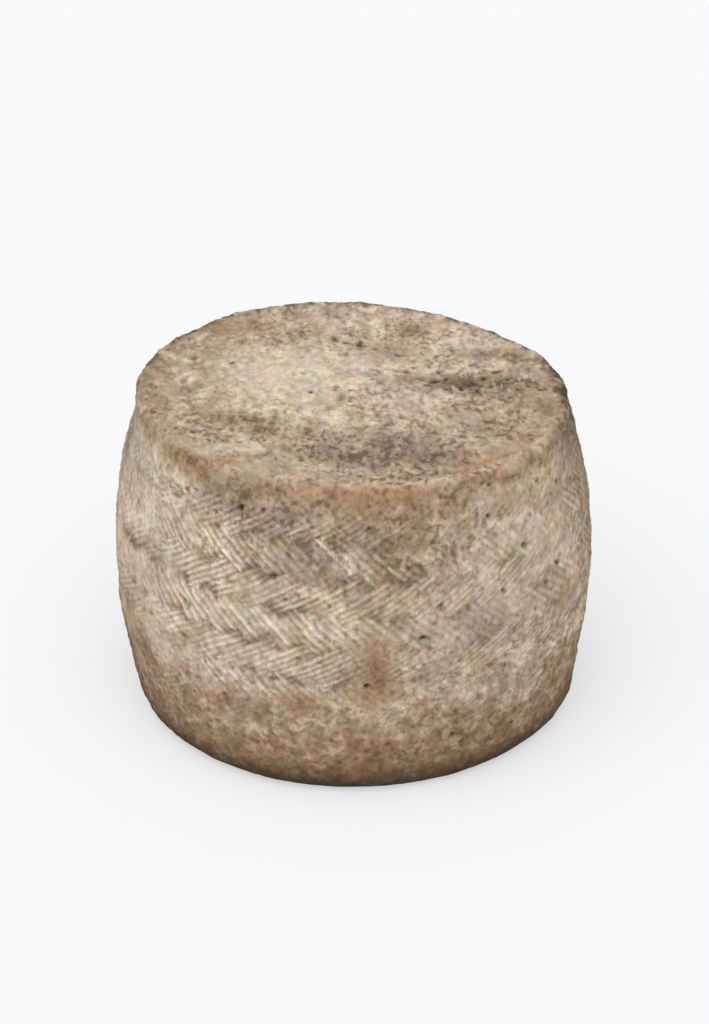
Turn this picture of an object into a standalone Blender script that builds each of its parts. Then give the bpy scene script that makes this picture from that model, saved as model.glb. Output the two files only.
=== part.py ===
"""A whole wheel of aged goat's-milk cheese that was pressed in a plaited grass belt.

The wheel is one solid. A barrel outline is turned round the upright axis with a Screw
modifier, and every point of it is then moved by the marks of the making: the belt's
herringbone plait, the lip that rose past the belt, the crease under it, the folds that the
pressing cloth left on top, pits, and a top that is a little out of level.
Lengths are in metres, +Z is up, and the front of the wheel looks along -Y.
"""

import math

import bmesh
import bpy
from mathutils import Vector, noise

MM = 0.001

# The wheel
BELLY_RADIUS = 82.5 * MM
BELLY_HEIGHT = 58.0 * MM
WHEEL_HEIGHT = 111.4 * MM
TOP_RADIUS = 73.2 * MM
FOOT_RADIUS = 76.7 * MM
SHOULDER_CURVE = 1.4
FLANK_CURVE = 1.8
TOP_SLOPE = -0.0297
LEAN = -0.0065
BOW = -0.0067

# The edges of the top and of the foot
LIP_ROUND = 2.4 * MM
FOOT_ROUND_OUT = 5.0 * MM
FOOT_ROUND_UP = 5.7 * MM
TOP_DISH = 0.9 * MM
CREASE_DEPTH = 0.9 * MM
CREASE_BELOW_TOP = 5.6 * MM
CREASE_WIDTH = 1.8 * MM

# The belt: strands cross three over, three under, in rows that slant to and fro
STRANDS_ROUND = 45
STRAND_PITCH = math.tau * BELLY_RADIUS / STRANDS_ROUND
PLAIT_FLOOR = 36.0 * MM
FALLING_RATE = 0.10 / MM
RISING_RATE = 0.15 / MM
STRANDS_OVER = 3
PLAIT_RELIEF = 1.1 * MM
PLAIT_BOTTOM = (26.0 * MM, 38.0 * MM)
PLAIT_TOP = (101.0 * MM, 105.0 * MM)
BELT_WANDER = 1.6 * MM

# Where the belt pressed hardest: bearing and half width in degrees, and the share it adds
PLAIT_FAINT = 0.4
PLAIT_PRESSED = ((-30, 32, 0.6), (140, 50, 0.55))

# The rind: broad swells, then lumps
SWELL_SIZE = 46.0 * MM
SWELL_RELIEF = 0.8 * MM
LUMP_SIZE = 9.0 * MM
LUMP_RELIEF = 0.45 * MM

# Swells and hollows of the side: bearing from the front in degrees, height, half widths
# along and up the side, and how far the rind stands out
SIDE_SWELLS = (
    (-88, 36 * MM, 30 * MM, 10 * MM, 0.6 * MM),
    (-86, 102 * MM, 28 * MM, 8 * MM, -1.9 * MM),
    (-66, 11 * MM, 20 * MM, 8 * MM, -0.7 * MM),
    (38, 3 * MM, 18 * MM, 7 * MM, -0.7 * MM),
    (66, 6 * MM, 14 * MM, 7 * MM, 1.2 * MM),
    (88, 84 * MM, 30 * MM, 14 * MM, 0.3 * MM),
    (84, 102 * MM, 22 * MM, 9 * MM, -1.1 * MM),
    (150, 107 * MM, 44 * MM, 9 * MM, 0.7 * MM),
    (-135, 107 * MM, 34 * MM, 9 * MM, 0.5 * MM),
)

# Pits of the side: bearing in degrees, height, half widths along and up, and depth
SIDE_PITS = (
    (-41.5, 63 * MM, 2.0 * MM, 1.7 * MM, 1.3 * MM),
    (-42.5, 50 * MM, 2.2 * MM, 1.7 * MM, 1.4 * MM),
    (-57.0, 57 * MM, 2.0 * MM, 1.4 * MM, 1.1 * MM),
    (-30.0, 57.5 * MM, 4.6 * MM, 1.3 * MM, 1.2 * MM),
    (-18.5, 44.5 * MM, 2.2 * MM, 1.6 * MM, 1.3 * MM),
    (-44.5, 29 * MM, 3.0 * MM, 2.2 * MM, 1.2 * MM),
    (-20.5, 31.5 * MM, 2.0 * MM, 1.5 * MM, 1.1 * MM),
    (0.5, 66 * MM, 1.5 * MM, 1.9 * MM, 1.2 * MM),
    (11.0, 66 * MM, 1.7 * MM, 1.4 * MM, 1.2 * MM),
    (20.0, 72 * MM, 1.9 * MM, 1.5 * MM, 1.5 * MM),
    (36.5, 71.5 * MM, 1.6 * MM, 1.3 * MM, 1.2 * MM),
    (56.5, 71 * MM, 2.4 * MM, 1.5 * MM, 1.4 * MM),
    (9.0, 91 * MM, 4.4 * MM, 4.0 * MM, 1.1 * MM),
)

# The groove where the belt's end lay: bearings where it starts and ends, height, half width
BELT_END = (-75.0, -40.0)
BELT_END_HEIGHT = 72.0 * MM
BELT_END_WIDTH = 1.5 * MM
BELT_END_DEPTH = 0.9 * MM

# Cloth folds in the top, each from point to point, with half width and depth
TOP_FOLDS = (
    ((14 * MM, 17 * MM), (27 * MM, 12 * MM), 1.6 * MM, 0.9 * MM),
    ((24 * MM, 8 * MM), (38 * MM, 7.5 * MM), 1.4 * MM, 0.7 * MM),
    ((32 * MM, 11 * MM), (60 * MM, 6 * MM), 3.6 * MM, 1.5 * MM),
)

# Broad hollows and swells of the top: place, half widths and rise
TOP_SWELLS = (
    ((4 * MM, -50 * MM), 26 * MM, 12 * MM, -1.1 * MM),
    ((-34 * MM, -27 * MM), 12 * MM, 7 * MM, -0.7 * MM),
    ((-20 * MM, 14 * MM), 26 * MM, 18 * MM, 0.6 * MM),
    ((-24 * MM, 66 * MM), 22 * MM, 12 * MM, 0.7 * MM),
    ((44 * MM, 52 * MM), 26 * MM, 16 * MM, -0.7 * MM),
)

# How finely the wheel is turned, and how many triangles are kept of it
TURN_STEPS = 360
SIDE_RING = 1.2 * MM
TOP_RING = 2.4 * MM
LIP_RINGS = 4
FOOT_RINGS = 5
KEPT_TRIANGLES = 11400

RIND_COLOUR = (0.42, 0.33, 0.23, 1.0)
RIND_ROUGHNESS = 0.9


def clamp(value, low=0.0, high=1.0):
    return max(low, min(high, value))


def smooth_step(low, high, value):
    share = clamp((value - low) / (high - low))
    return share * share * (3 - 2 * share)


def bump(offset, width):
    """A round hump, 1 at no offset and fading out over about two widths."""
    return math.exp(-0.5 * (offset / width) ** 2)


def barrel_radius(height):
    """Radius of the side before its edges are rounded."""
    above = clamp((height - BELLY_HEIGHT) / (WHEEL_HEIGHT - BELLY_HEIGHT))
    below = clamp((BELLY_HEIGHT - height) / BELLY_HEIGHT)
    shoulder = (BELLY_RADIUS - TOP_RADIUS) * above**SHOULDER_CURVE
    flank = (BELLY_RADIUS - FOOT_RADIUS) * below**FLANK_CURVE
    return BELLY_RADIUS - shoulder - flank


def top_points():
    """The top from the axis out to the lip, dished a little."""
    reach = TOP_RADIUS - LIP_ROUND
    rings = round(reach / TOP_RING)
    for ring in range(rings + 1):
        share = ring / rings
        yield share * reach, WHEEL_HEIGHT - TOP_DISH * (1 - share**4)


def lip_points():
    """The lip, a quarter round from the top over to the side."""
    for ring in range(1, LIP_RINGS + 1):
        turn = math.pi / 2 * ring / LIP_RINGS
        height = WHEEL_HEIGHT - LIP_ROUND * (1 - math.cos(turn))
        yield barrel_radius(height) - LIP_ROUND * (1 - math.sin(turn)), height


def side_points():
    """The side down to where the foot starts to round."""
    top = WHEEL_HEIGHT - LIP_ROUND
    rings = round((top - FOOT_ROUND_UP) / SIDE_RING)
    for ring in range(1, rings + 1):
        height = top - (top - FOOT_ROUND_UP) * ring / rings
        yield barrel_radius(height), height


def foot_points():
    """The rounded foot, down to the flat that the wheel stands on."""
    for ring in range(1, FOOT_RINGS + 1):
        turn = math.pi / 2 * ring / FOOT_RINGS
        height = FOOT_ROUND_UP * (1 - math.sin(turn))
        yield barrel_radius(height) - FOOT_ROUND_OUT * (1 - math.cos(turn)), height


def plait(along, height):
    """Height of the belt's print, from 0 between strands to 1 on the crown of a strand."""
    up = height - PLAIT_FLOOR
    falling = along / STRAND_PITCH + up * FALLING_RATE
    rising = along / STRAND_PITCH - up * RISING_RATE
    crossing = math.floor(falling) - math.floor(rising)
    row = crossing // (2 * STRANDS_OVER) * 2 * STRANDS_OVER
    if crossing - row < STRANDS_OVER:
        across = falling % 1
        length = (math.floor(falling) - row + 1 - rising) / STRANDS_OVER
    else:
        across = rising % 1
        length = (falling - math.floor(rising) - row - STRANDS_OVER) / STRANDS_OVER
    crown = math.sin(math.pi * across)
    arch = math.sin(math.pi * clamp(length))
    return math.sqrt(crown * arch)


def swells(point, size):
    return noise.noise(point / size)


def side_relief(bearing, height, point):
    """How far the rind stands out from the turned barrel."""
    along = bearing * BELLY_RADIUS
    wander = BELT_WANDER * swells(point, SWELL_SIZE)
    print_depth = smooth_step(*PLAIT_BOTTOM, height) * (1 - smooth_step(*PLAIT_TOP, height))
    pressed = PLAIT_FAINT + 0.3 * swells(point + Vector((1, 0, 0)), SWELL_SIZE)
    for around, wide, share in PLAIT_PRESSED:
        turn = math.remainder(bearing - math.radians(around), math.tau)
        pressed += share * bump(turn, math.radians(wide))
    print_depth *= clamp(pressed)
    out = PLAIT_RELIEF * print_depth * (plait(along + wander, height + wander) - 0.6)
    out += SWELL_RELIEF * swells(point, SWELL_SIZE) + LUMP_RELIEF * swells(point, LUMP_SIZE)
    crease = CREASE_DEPTH * (0.8 + 0.9 * swells(point + Vector((0, 1, 0)), SWELL_SIZE))
    out -= crease * bump(height - WHEEL_HEIGHT + CREASE_BELOW_TOP, CREASE_WIDTH)
    for around, up, wide, tall, amount in SIDE_SWELLS:
        turn = math.remainder(bearing - math.radians(around), math.tau)
        out += amount * bump(turn * BELLY_RADIUS, wide) * bump(height - up, tall)
    for around, up, wide, tall, depth in SIDE_PITS:
        turn = math.remainder(bearing - math.radians(around), math.tau)
        out -= depth * bump(turn * BELLY_RADIUS, wide) * bump(height - up, tall)
    start, end = (math.radians(edge) * BELLY_RADIUS for edge in BELT_END)
    beyond = max(start - along, along - end, 0)
    groove = bump(beyond, 2 * BELT_END_WIDTH) * bump(height - BELT_END_HEIGHT, BELT_END_WIDTH)
    return out - BELT_END_DEPTH * groove


def distance_to_fold(point, start, end):
    start, end = Vector(start), Vector(end)
    run = end - start
    share = clamp((point - start).dot(run) / run.length_squared)
    return (point - start - run * share).length


def top_relief(point):
    """How far the top rises from its turned shape."""
    flat = point.to_2d()
    rise = LUMP_RELIEF * swells(point, LUMP_SIZE)
    for place, wide, deep, amount in TOP_SWELLS:
        offset = flat - Vector(place)
        rise += amount * bump(offset.x, wide) * bump(offset.y, deep)
    for start, end, width, depth in TOP_FOLDS:
        rise -= depth * bump(distance_to_fold(flat, start, end), width)
    return rise


def settled(point):
    """Slant the top and lean the wheel, leaving the foot flat on z = 0."""
    share = point.z / WHEEL_HEIGHT
    height = point.z + share * TOP_SLOPE * point.x
    lean = LEAN * (height - WHEEL_HEIGHT / 2)
    bow = BOW * WHEEL_HEIGHT * ((height / WHEEL_HEIGHT - 0.5) ** 2 - 1 / 12)
    return Vector((point.x + lean + bow, point.y, height))


def shaped(point):
    """Where a point of the turned wheel lies on the real one."""
    reach = math.hypot(point.x, point.y)
    bearing = math.atan2(point.x, -point.y)
    onto_side = smooth_step(TOP_RADIUS - 2 * LIP_ROUND, TOP_RADIUS, reach)
    if point.z < WHEEL_HEIGHT - LIP_ROUND:
        onto_side = 1.0
    above_foot = smooth_step(0, FOOT_ROUND_UP, point.z)
    moved = point.copy()
    if onto_side > 0:
        out = onto_side * (0.4 + 0.6 * above_foot) * side_relief(bearing, point.z, point)
        moved.xy *= 1 + out / reach
    rim = smooth_step(WHEEL_HEIGHT - 4 * LIP_ROUND, WHEEL_HEIGHT - LIP_ROUND, point.z)
    moved.z += rim * top_relief(point)
    return settled(moved)


def turned_wheel():
    """The barrel outline turned a full circle, open at the flat of the foot."""
    outline = [*top_points(), *lip_points(), *side_points(), *foot_points()]
    mesh = bpy.data.meshes.new("wheel_outline")
    corners = [(radius, 0, height) for radius, height in outline]
    mesh.from_pydata(corners, [(i, i + 1) for i in range(len(corners) - 1)], [])
    wheel = bpy.data.objects.new("wheel_outline", mesh)
    bpy.context.scene.collection.objects.link(wheel)
    screw = wheel.modifiers.new("turn", "SCREW")
    screw.angle = math.tau
    screw.steps = screw.render_steps = TURN_STEPS
    screw.use_merge_vertices = True
    screw.merge_threshold = 0.01 * MM
    return wheel


def fixed_mesh(source, name):
    """The source's mesh with its modifiers applied; the source itself is removed."""
    bpy.context.view_layer.update()
    evaluated = source.evaluated_get(bpy.context.evaluated_depsgraph_get())
    mesh = bpy.data.meshes.new_from_object(evaluated)
    mesh.name = name
    bpy.data.objects.remove(source)
    return mesh


def lighten(mesh, triangles):
    """Keep about this many triangles, where the relief needs them most."""
    source = bpy.data.objects.new("fine_wheel", mesh)
    bpy.context.scene.collection.objects.link(source)
    decimate = source.modifiers.new("lighten", "DECIMATE")
    decimate.ratio = triangles / (2 * len(mesh.polygons))
    return fixed_mesh(source, mesh.name)


def close_foot(mesh):
    """Fill the open ring that the wheel stands on with one flat face."""
    body = bmesh.new()
    body.from_mesh(mesh)
    ring = [edge for edge in body.edges if edge.is_boundary]
    for edge in ring:
        for corner in edge.verts:
            corner.co.z = 0
    bmesh.ops.contextual_create(body, geom=ring)
    bmesh.ops.recalc_face_normals(body, faces=body.faces)
    body.to_mesh(mesh)
    body.free()


def centre(mesh):
    """Bring the middle of the wheel's box over the origin."""
    for axis in (0, 1):
        places = [corner.co[axis] for corner in mesh.vertices]
        middle = (min(places) + max(places)) / 2
        for corner in mesh.vertices:
            corner.co[axis] -= middle


def rind_material():
    material = bpy.data.materials.new("rind")
    material.use_nodes = True
    shader = material.node_tree.nodes["Principled BSDF"]
    shader.inputs["Base Color"].default_value = RIND_COLOUR
    shader.inputs["Roughness"].default_value = RIND_ROUGHNESS
    shader.inputs["Metallic"].default_value = 0.0
    return material


def make_cheese():
    mesh = fixed_mesh(turned_wheel(), "goat_cheese")
    for corner in mesh.vertices:
        corner.co = shaped(corner.co)
    mesh = lighten(mesh, KEPT_TRIANGLES)
    close_foot(mesh)
    centre(mesh)
    mesh.shade_smooth()
    mesh.materials.clear()
    mesh.materials.append(rind_material())
    cheese = bpy.data.objects.new("goat_cheese", mesh)
    parts = bpy.data.collections.new("aged_goat_cheese")
    bpy.context.scene.collection.children.link(parts)
    parts.objects.link(cheese)
    return cheese


for old in list(bpy.data.objects):
    bpy.data.objects.remove(old)
make_cheese()
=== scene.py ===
"""The looks of a whole aged goat's-milk cheese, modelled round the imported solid.

Lengths are in metres, +Z is up, and the front of the wheel looks along -Y.
"""

import math

import bmesh
import bpy
import numpy as np
from mathutils import Matrix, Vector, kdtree, noise


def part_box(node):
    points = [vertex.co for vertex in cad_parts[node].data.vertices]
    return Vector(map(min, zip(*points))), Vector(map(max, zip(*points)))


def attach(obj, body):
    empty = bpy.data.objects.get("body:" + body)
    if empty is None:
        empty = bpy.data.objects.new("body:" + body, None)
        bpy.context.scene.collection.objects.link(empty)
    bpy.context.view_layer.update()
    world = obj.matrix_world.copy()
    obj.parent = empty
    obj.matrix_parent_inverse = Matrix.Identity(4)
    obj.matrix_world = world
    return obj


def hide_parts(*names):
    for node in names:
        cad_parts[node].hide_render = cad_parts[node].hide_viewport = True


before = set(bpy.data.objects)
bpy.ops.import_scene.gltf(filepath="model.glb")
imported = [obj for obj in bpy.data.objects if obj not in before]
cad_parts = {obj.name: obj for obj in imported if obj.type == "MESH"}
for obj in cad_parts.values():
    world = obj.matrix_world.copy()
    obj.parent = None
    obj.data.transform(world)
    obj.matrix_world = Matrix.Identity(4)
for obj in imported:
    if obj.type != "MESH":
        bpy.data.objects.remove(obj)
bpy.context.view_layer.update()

# ---- The turned wheel ---------------------------------------------------------------------
# A squat barrel of pressed goat's curd, whole and uncut, that stands on its flat foot.
# Its outline is spun through a sector, which is then doubled until the circle is full: the
# mesh is fine enough to carry every mark that follows.

MM = 0.001
low_corner, high_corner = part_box("goat_cheese")

# The bare wheel, before its marks, bow and slant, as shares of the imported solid's box
BELLY_RADIUS = 0.4995 * (high_corner.x - low_corner.x)
WHEEL_HEIGHT = 0.9789 * high_corner.z
BELLY_HEIGHT = 0.5206 * WHEEL_HEIGHT
TOP_RADIUS = 0.8873 * BELLY_RADIUS
FOOT_RADIUS = 0.9297 * BELLY_RADIUS

# How its outline bends, and how its edges are rounded
SHOULDER_CURVE = 1.4
FLANK_CURVE = 1.8
LIP_ROUND = 2.4 * MM
FOOT_ROUND_OUT = 5.0 * MM
FOOT_ROUND_UP = 5.7 * MM
TOP_DISH = 0.9 * MM
DISH_CURVE = 4

# How fine the mesh is: steps round the wheel, and the rings' spacing along the outline
TURN_STEPS = 768
DOUBLINGS = 5
TOP_RING = 0.7 * MM
SIDE_RING = 0.52 * MM
FOOT_EDGE_RING = 1.5 * SIDE_RING
FOOT_RING = 9.0 * MM
WELD = 0.001 * MM


def barrel_radius(height):
    """Radius of the side before its edges are rounded."""
    above = np.clip((height - BELLY_HEIGHT) / (WHEEL_HEIGHT - BELLY_HEIGHT), 0, 1)
    below = np.clip((BELLY_HEIGHT - height) / BELLY_HEIGHT, 0, 1)
    shoulder = (BELLY_RADIUS - TOP_RADIUS) * above**SHOULDER_CURVE
    flank = (BELLY_RADIUS - FOOT_RADIUS) * below**FLANK_CURVE
    return BELLY_RADIUS - shoulder - flank


def stations(start, end, spacing):
    """Evenly spaced places from start to end, without the first."""
    return np.linspace(start, end, round(abs(end - start) / spacing) + 1)[1:]


def outline():
    """The wheel's half section: over the top, round the lip, down the side, under the foot."""
    reach = TOP_RADIUS - LIP_ROUND
    yield 0, WHEEL_HEIGHT - TOP_DISH
    for radius in stations(0, reach, TOP_RING):
        yield radius, WHEEL_HEIGHT - TOP_DISH * (1 - (radius / reach) ** DISH_CURVE)
    for turn in stations(0, math.pi / 2, SIDE_RING / LIP_ROUND):
        height = WHEEL_HEIGHT - LIP_ROUND * (1 - math.cos(turn))
        yield barrel_radius(height) - LIP_ROUND * (1 - math.sin(turn)), height
    for height in stations(WHEEL_HEIGHT - LIP_ROUND, FOOT_ROUND_UP, SIDE_RING):
        yield barrel_radius(height), height
    for turn in stations(0, math.pi / 2, FOOT_EDGE_RING / FOOT_ROUND_OUT):
        height = FOOT_ROUND_UP * (1 - math.sin(turn))
        yield barrel_radius(height) - FOOT_ROUND_OUT * (1 - math.cos(turn)), height
    for radius in stations(barrel_radius(0) - FOOT_ROUND_OUT, 0, FOOT_RING):
        yield radius, 0


body = bmesh.new()
corners = [body.verts.new((radius, 0, height)) for radius, height in outline()]
section = [body.edges.new(pair) for pair in zip(corners, corners[1:])]
sector = math.tau / 2**DOUBLINGS
bmesh.ops.spin(
    body, geom=corners + section, axis=(0, 0, 1), cent=(0, 0, 0),
    steps=TURN_STEPS // 2**DOUBLINGS, angle=sector,
)
for doubling in range(DOUBLINGS):
    made = bmesh.ops.duplicate(body, geom=[*body.verts, *body.edges, *body.faces])["geom"]
    copied = [corner for corner in made if isinstance(corner, bmesh.types.BMVert)]
    turned = Matrix.Rotation(sector * 2**doubling, 3, "Z")
    bmesh.ops.rotate(body, verts=copied, cent=(0, 0, 0), matrix=turned)
bmesh.ops.remove_doubles(body, verts=body.verts, dist=WELD)
bmesh.ops.recalc_face_normals(body, faces=body.faces)
wheel = bpy.data.meshes.new("fine_wheel")
body.to_mesh(wheel)
body.free()

places = np.empty((len(wheel.vertices), 3), np.float32)
wheel.vertices.foreach_get("co", places.ravel())
places = places.astype(float)
reach = np.hypot(places[:, 0], places[:, 1])
bearing = np.arctan2(places[:, 0], -places[:, 1])
height = places[:, 2]


def bump(offset, width):
    """A round hump, 1 at no offset and fading out over about two widths."""
    return np.exp(-0.5 * (offset / width) ** 2)


def smooth_step(low, high, value):
    """Go smoothly from 0 at low to 1 at high, whichever of the two is larger."""
    share = np.clip((value - low) / (high - low), 0, 1)
    return share * share * (3 - 2 * share)


def swells(size, shift=(0, 0, 0), squeeze=(1, 1, 1)):
    """Smooth noise from about -1 to 1 at every point, with lumps of that size.

    A shift takes another piece of the noise, and a squeeze above 1 shortens its lumps.
    """
    sampled = (places * squeeze + shift) / size
    return np.array([noise.noise(place) for place in sampled.tolist()])


def turn_from(around):
    """How far round every point lies from a bearing in degrees, the shorter way, in radians."""
    return (bearing - math.radians(around) + math.pi) % math.tau - math.pi


def round_the_side(around, up, wide, tall):
    """A soft patch of the side: bearing in degrees, height, half widths along and up."""
    return bump(turn_from(around) * BELLY_RADIUS, wide) * bump(height - up, tall)


def over_the_top(place, wide, deep):
    """A soft patch of the top: place, half widths to the side and to the back."""
    return bump(places[:, 0] - place[0], wide) * bump(places[:, 1] - place[1], deep)


# How far each point belongs to the side, to the top, and to what stands clear of the foot
on_side = smooth_step(TOP_RADIUS - 2 * LIP_ROUND, TOP_RADIUS, reach)
on_side = np.where(height < WHEEL_HEIGHT - LIP_ROUND, 1.0, on_side)
on_top = smooth_step(WHEEL_HEIGHT - 4 * LIP_ROUND, WHEEL_HEIGHT - LIP_ROUND, height)
above_foot = smooth_step(0, FOOT_ROUND_UP, height)

# ---- The belt's print ---------------------------------------------------------------------
# The curd drained in a belt plaited from flat bundles of grass: each bundle crosses three
# over and three under, in rows that slant to and fro, and its stalks left fine ribs.

# Slants of the two ways of the plait, in strand pitches sideways for each metre up
FALLING_RATE = 0.10 / MM
RISING_RATE = 0.15 / MM

STRANDS_ROUND = 45
STRAND_PITCH = math.tau * BELLY_RADIUS / STRANDS_ROUND
PLAIT_FLOOR = 36.0 * MM
STRANDS_OVER = 3
STALKS = 3
STALK_SHARPNESS = 1.8
PLAIT_RELIEF = 0.72 * MM
PLAIT_LEVEL = 0.72
STALK_RELIEF = 0.33 * MM
PLAIT_BOTTOM = (26.0 * MM, 42.0 * MM)
PLAIT_TOP = (97.0 * MM, 107.0 * MM)
BELT_WANDER = 1.6 * MM
STALK_WANDERS = ((9.0 * MM, 0.6 * MM), (4.0 * MM, 0.16 * MM))
PLAIT_FAINT = 0.34
SWELL_SIZE = 46.0 * MM
EDGE_SIZE = 14.0 * MM
EDGE_WANDER = 14.0 * MM
FADE_SIZE = 12.0 * MM
BEAD_SIZE = 3.4 * MM

# Where the belt pressed harder: bearing and half width in degrees, and how much harder
PLAIT_PRESSED = ((-26, 27, 0.66), (140, 50, 0.55))

# Where the print stayed clear: bearing in degrees, height, half widths along and up, and how
# clear it is
CLEAR_PRINT = (
    (-22, 60 * MM, 30 * MM, 24 * MM, 1.0),
    (10, 79 * MM, 30 * MM, 12 * MM, 0.9),
    (-9, 97 * MM, 20 * MM, 6 * MM, 1.2),
    (-2, 89 * MM, 16 * MM, 5 * MM, 1.1),
    (36, 82 * MM, 9 * MM, 6 * MM, 1.1),
    (48, 66 * MM, 16 * MM, 10 * MM, 0.6),
    (-60, 50 * MM, 18 * MM, 12 * MM, 0.45),
    (120, 60 * MM, 50 * MM, 24 * MM, 0.8),
    (-160, 62 * MM, 50 * MM, 24 * MM, 0.9),
)

# Where it was rubbed away again: bearing, height and half widths, and the share that went
WORN_PRINT = (
    (-45, 41 * MM, 16 * MM, 10 * MM, 0.85),
    (-24, 44 * MM, 16 * MM, 9 * MM, 0.4),
    (-12, 34 * MM, 20 * MM, 6 * MM, 0.6),
    (8, 52 * MM, 12 * MM, 12 * MM, 0.5),
    (30, 46 * MM, 12 * MM, 8 * MM, 0.4),
)

broad_swells = swells(SWELL_SIZE)
along = bearing * BELLY_RADIUS
belt_along = along + BELT_WANDER * broad_swells
belt_height = height + BELT_WANDER * broad_swells
for size, wander in STALK_WANDERS:
    belt_along = belt_along + wander * swells(size)
    belt_height = belt_height + wander * swells(size, (0, 0, 1))

# Falling and rising bundles are numbered round the wheel. Where two cross, the difference of
# their numbers is counted in sixes: the falling one lies over for three, and under for three
falling = belt_along / STRAND_PITCH + (belt_height - PLAIT_FLOOR) * FALLING_RATE
rising = belt_along / STRAND_PITCH - (belt_height - PLAIT_FLOOR) * RISING_RATE
crossing = np.floor(falling) - np.floor(rising)
row = crossing // (2 * STRANDS_OVER) * 2 * STRANDS_OVER
falling_shows = crossing - row < STRANDS_OVER
lane = np.where(falling_shows, falling, rising)
across = lane % 1
run_falling = (np.floor(falling) - row + 1 - rising) / STRANDS_OVER
run_rising = (falling - np.floor(rising) - row - STRANDS_OVER) / STRANDS_OVER
run = np.clip(np.where(falling_shows, run_falling, run_rising), 0, 1)

# Each bundle is humped across and along its run, and parted into stalks of unequal height
stalks = across * STALKS
bundle = (0.6 + 0.4 * np.sin(math.pi * across) ** 0.5) * np.sin(math.pi * run) ** 0.4
stalk = np.abs(np.sin(math.pi * stalks)) ** STALK_SHARPNESS
strand_number = np.floor(lane) % STRANDS_ROUND
luck = np.sin(12.99 * strand_number + 78.23 * np.floor(stalks) + 37.7 * row) * 43758.5 % 1

# How hard the belt pressed, and how much of its print is left
pressed = PLAIT_FAINT + 0.3 * swells(SWELL_SIZE, (1, 0, 0))
for around, wide, share in PLAIT_PRESSED:
    pressed += share * bump(turn_from(around), math.radians(wide))
pressed = np.clip(pressed, 0, 1)
edge = height + EDGE_WANDER * swells(EDGE_SIZE, (1, 1, 0))
pressed *= smooth_step(*PLAIT_BOTTOM, edge) * (1 - smooth_step(*PLAIT_TOP, edge))
pressed *= height < WHEEL_HEIGHT - LIP_ROUND
for *patch, share in WORN_PRINT:
    pressed *= 1 - share * round_the_side(*patch)
clear = np.zeros(len(places))
for *patch, share in CLEAR_PRINT:
    clear = np.maximum(clear, share * round_the_side(*patch))
fade = swells(FADE_SIZE, (0, 1, 1)) + 0.9 * clear
shown = pressed * (0.1 + 0.9 * smooth_step(-0.1, 0.75, fade))
out = PLAIT_RELIEF * (0.4 * pressed + 0.6 * shown) * (bundle - PLAIT_LEVEL)
beads = 1 + 0.4 * swells(BEAD_SIZE, (1, 0, 1))
out += STALK_RELIEF * np.sqrt(shown) * (stalk * beads * (0.4 + luck) - 0.4)

# ---- The rind's swells, crease and pits ---------------------------------------------------
# The curd rose past the belt as a rounded lip over a crease, and the drying rind swelled,
# sank and pitted all over. Swells and lumps come first, then the crease, the side's single
# pits and the groove of the belt's end.

SWELL_RELIEF = 0.8 * MM
LUMP_SIZE = 9.0 * MM
LUMP_RELIEF = 0.45 * MM
CREASE_DEPTH = 0.9 * MM
CREASE_BELOW_TOP = 5.6 * MM
CREASE_WIDTH = 1.8 * MM
RAGGED_SIZE = 2.6 * MM

# Swells and hollows of the side: bearing from the front in degrees, height, half widths
# along and up the side, and how far the rind stands out
SIDE_SWELLS = (
    (-88, 36 * MM, 30 * MM, 10 * MM, 0.6 * MM),
    (-86, 102 * MM, 28 * MM, 8 * MM, -1.9 * MM),
    (-66, 11 * MM, 20 * MM, 8 * MM, -0.7 * MM),
    (38, 3 * MM, 18 * MM, 7 * MM, -0.7 * MM),
    (66, 6 * MM, 14 * MM, 7 * MM, 1.2 * MM),
    (88, 84 * MM, 30 * MM, 14 * MM, 0.3 * MM),
    (84, 102 * MM, 22 * MM, 9 * MM, -1.1 * MM),
    (150, 107 * MM, 44 * MM, 9 * MM, 0.7 * MM),
    (-135, 107 * MM, 34 * MM, 9 * MM, 0.5 * MM),
)

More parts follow.
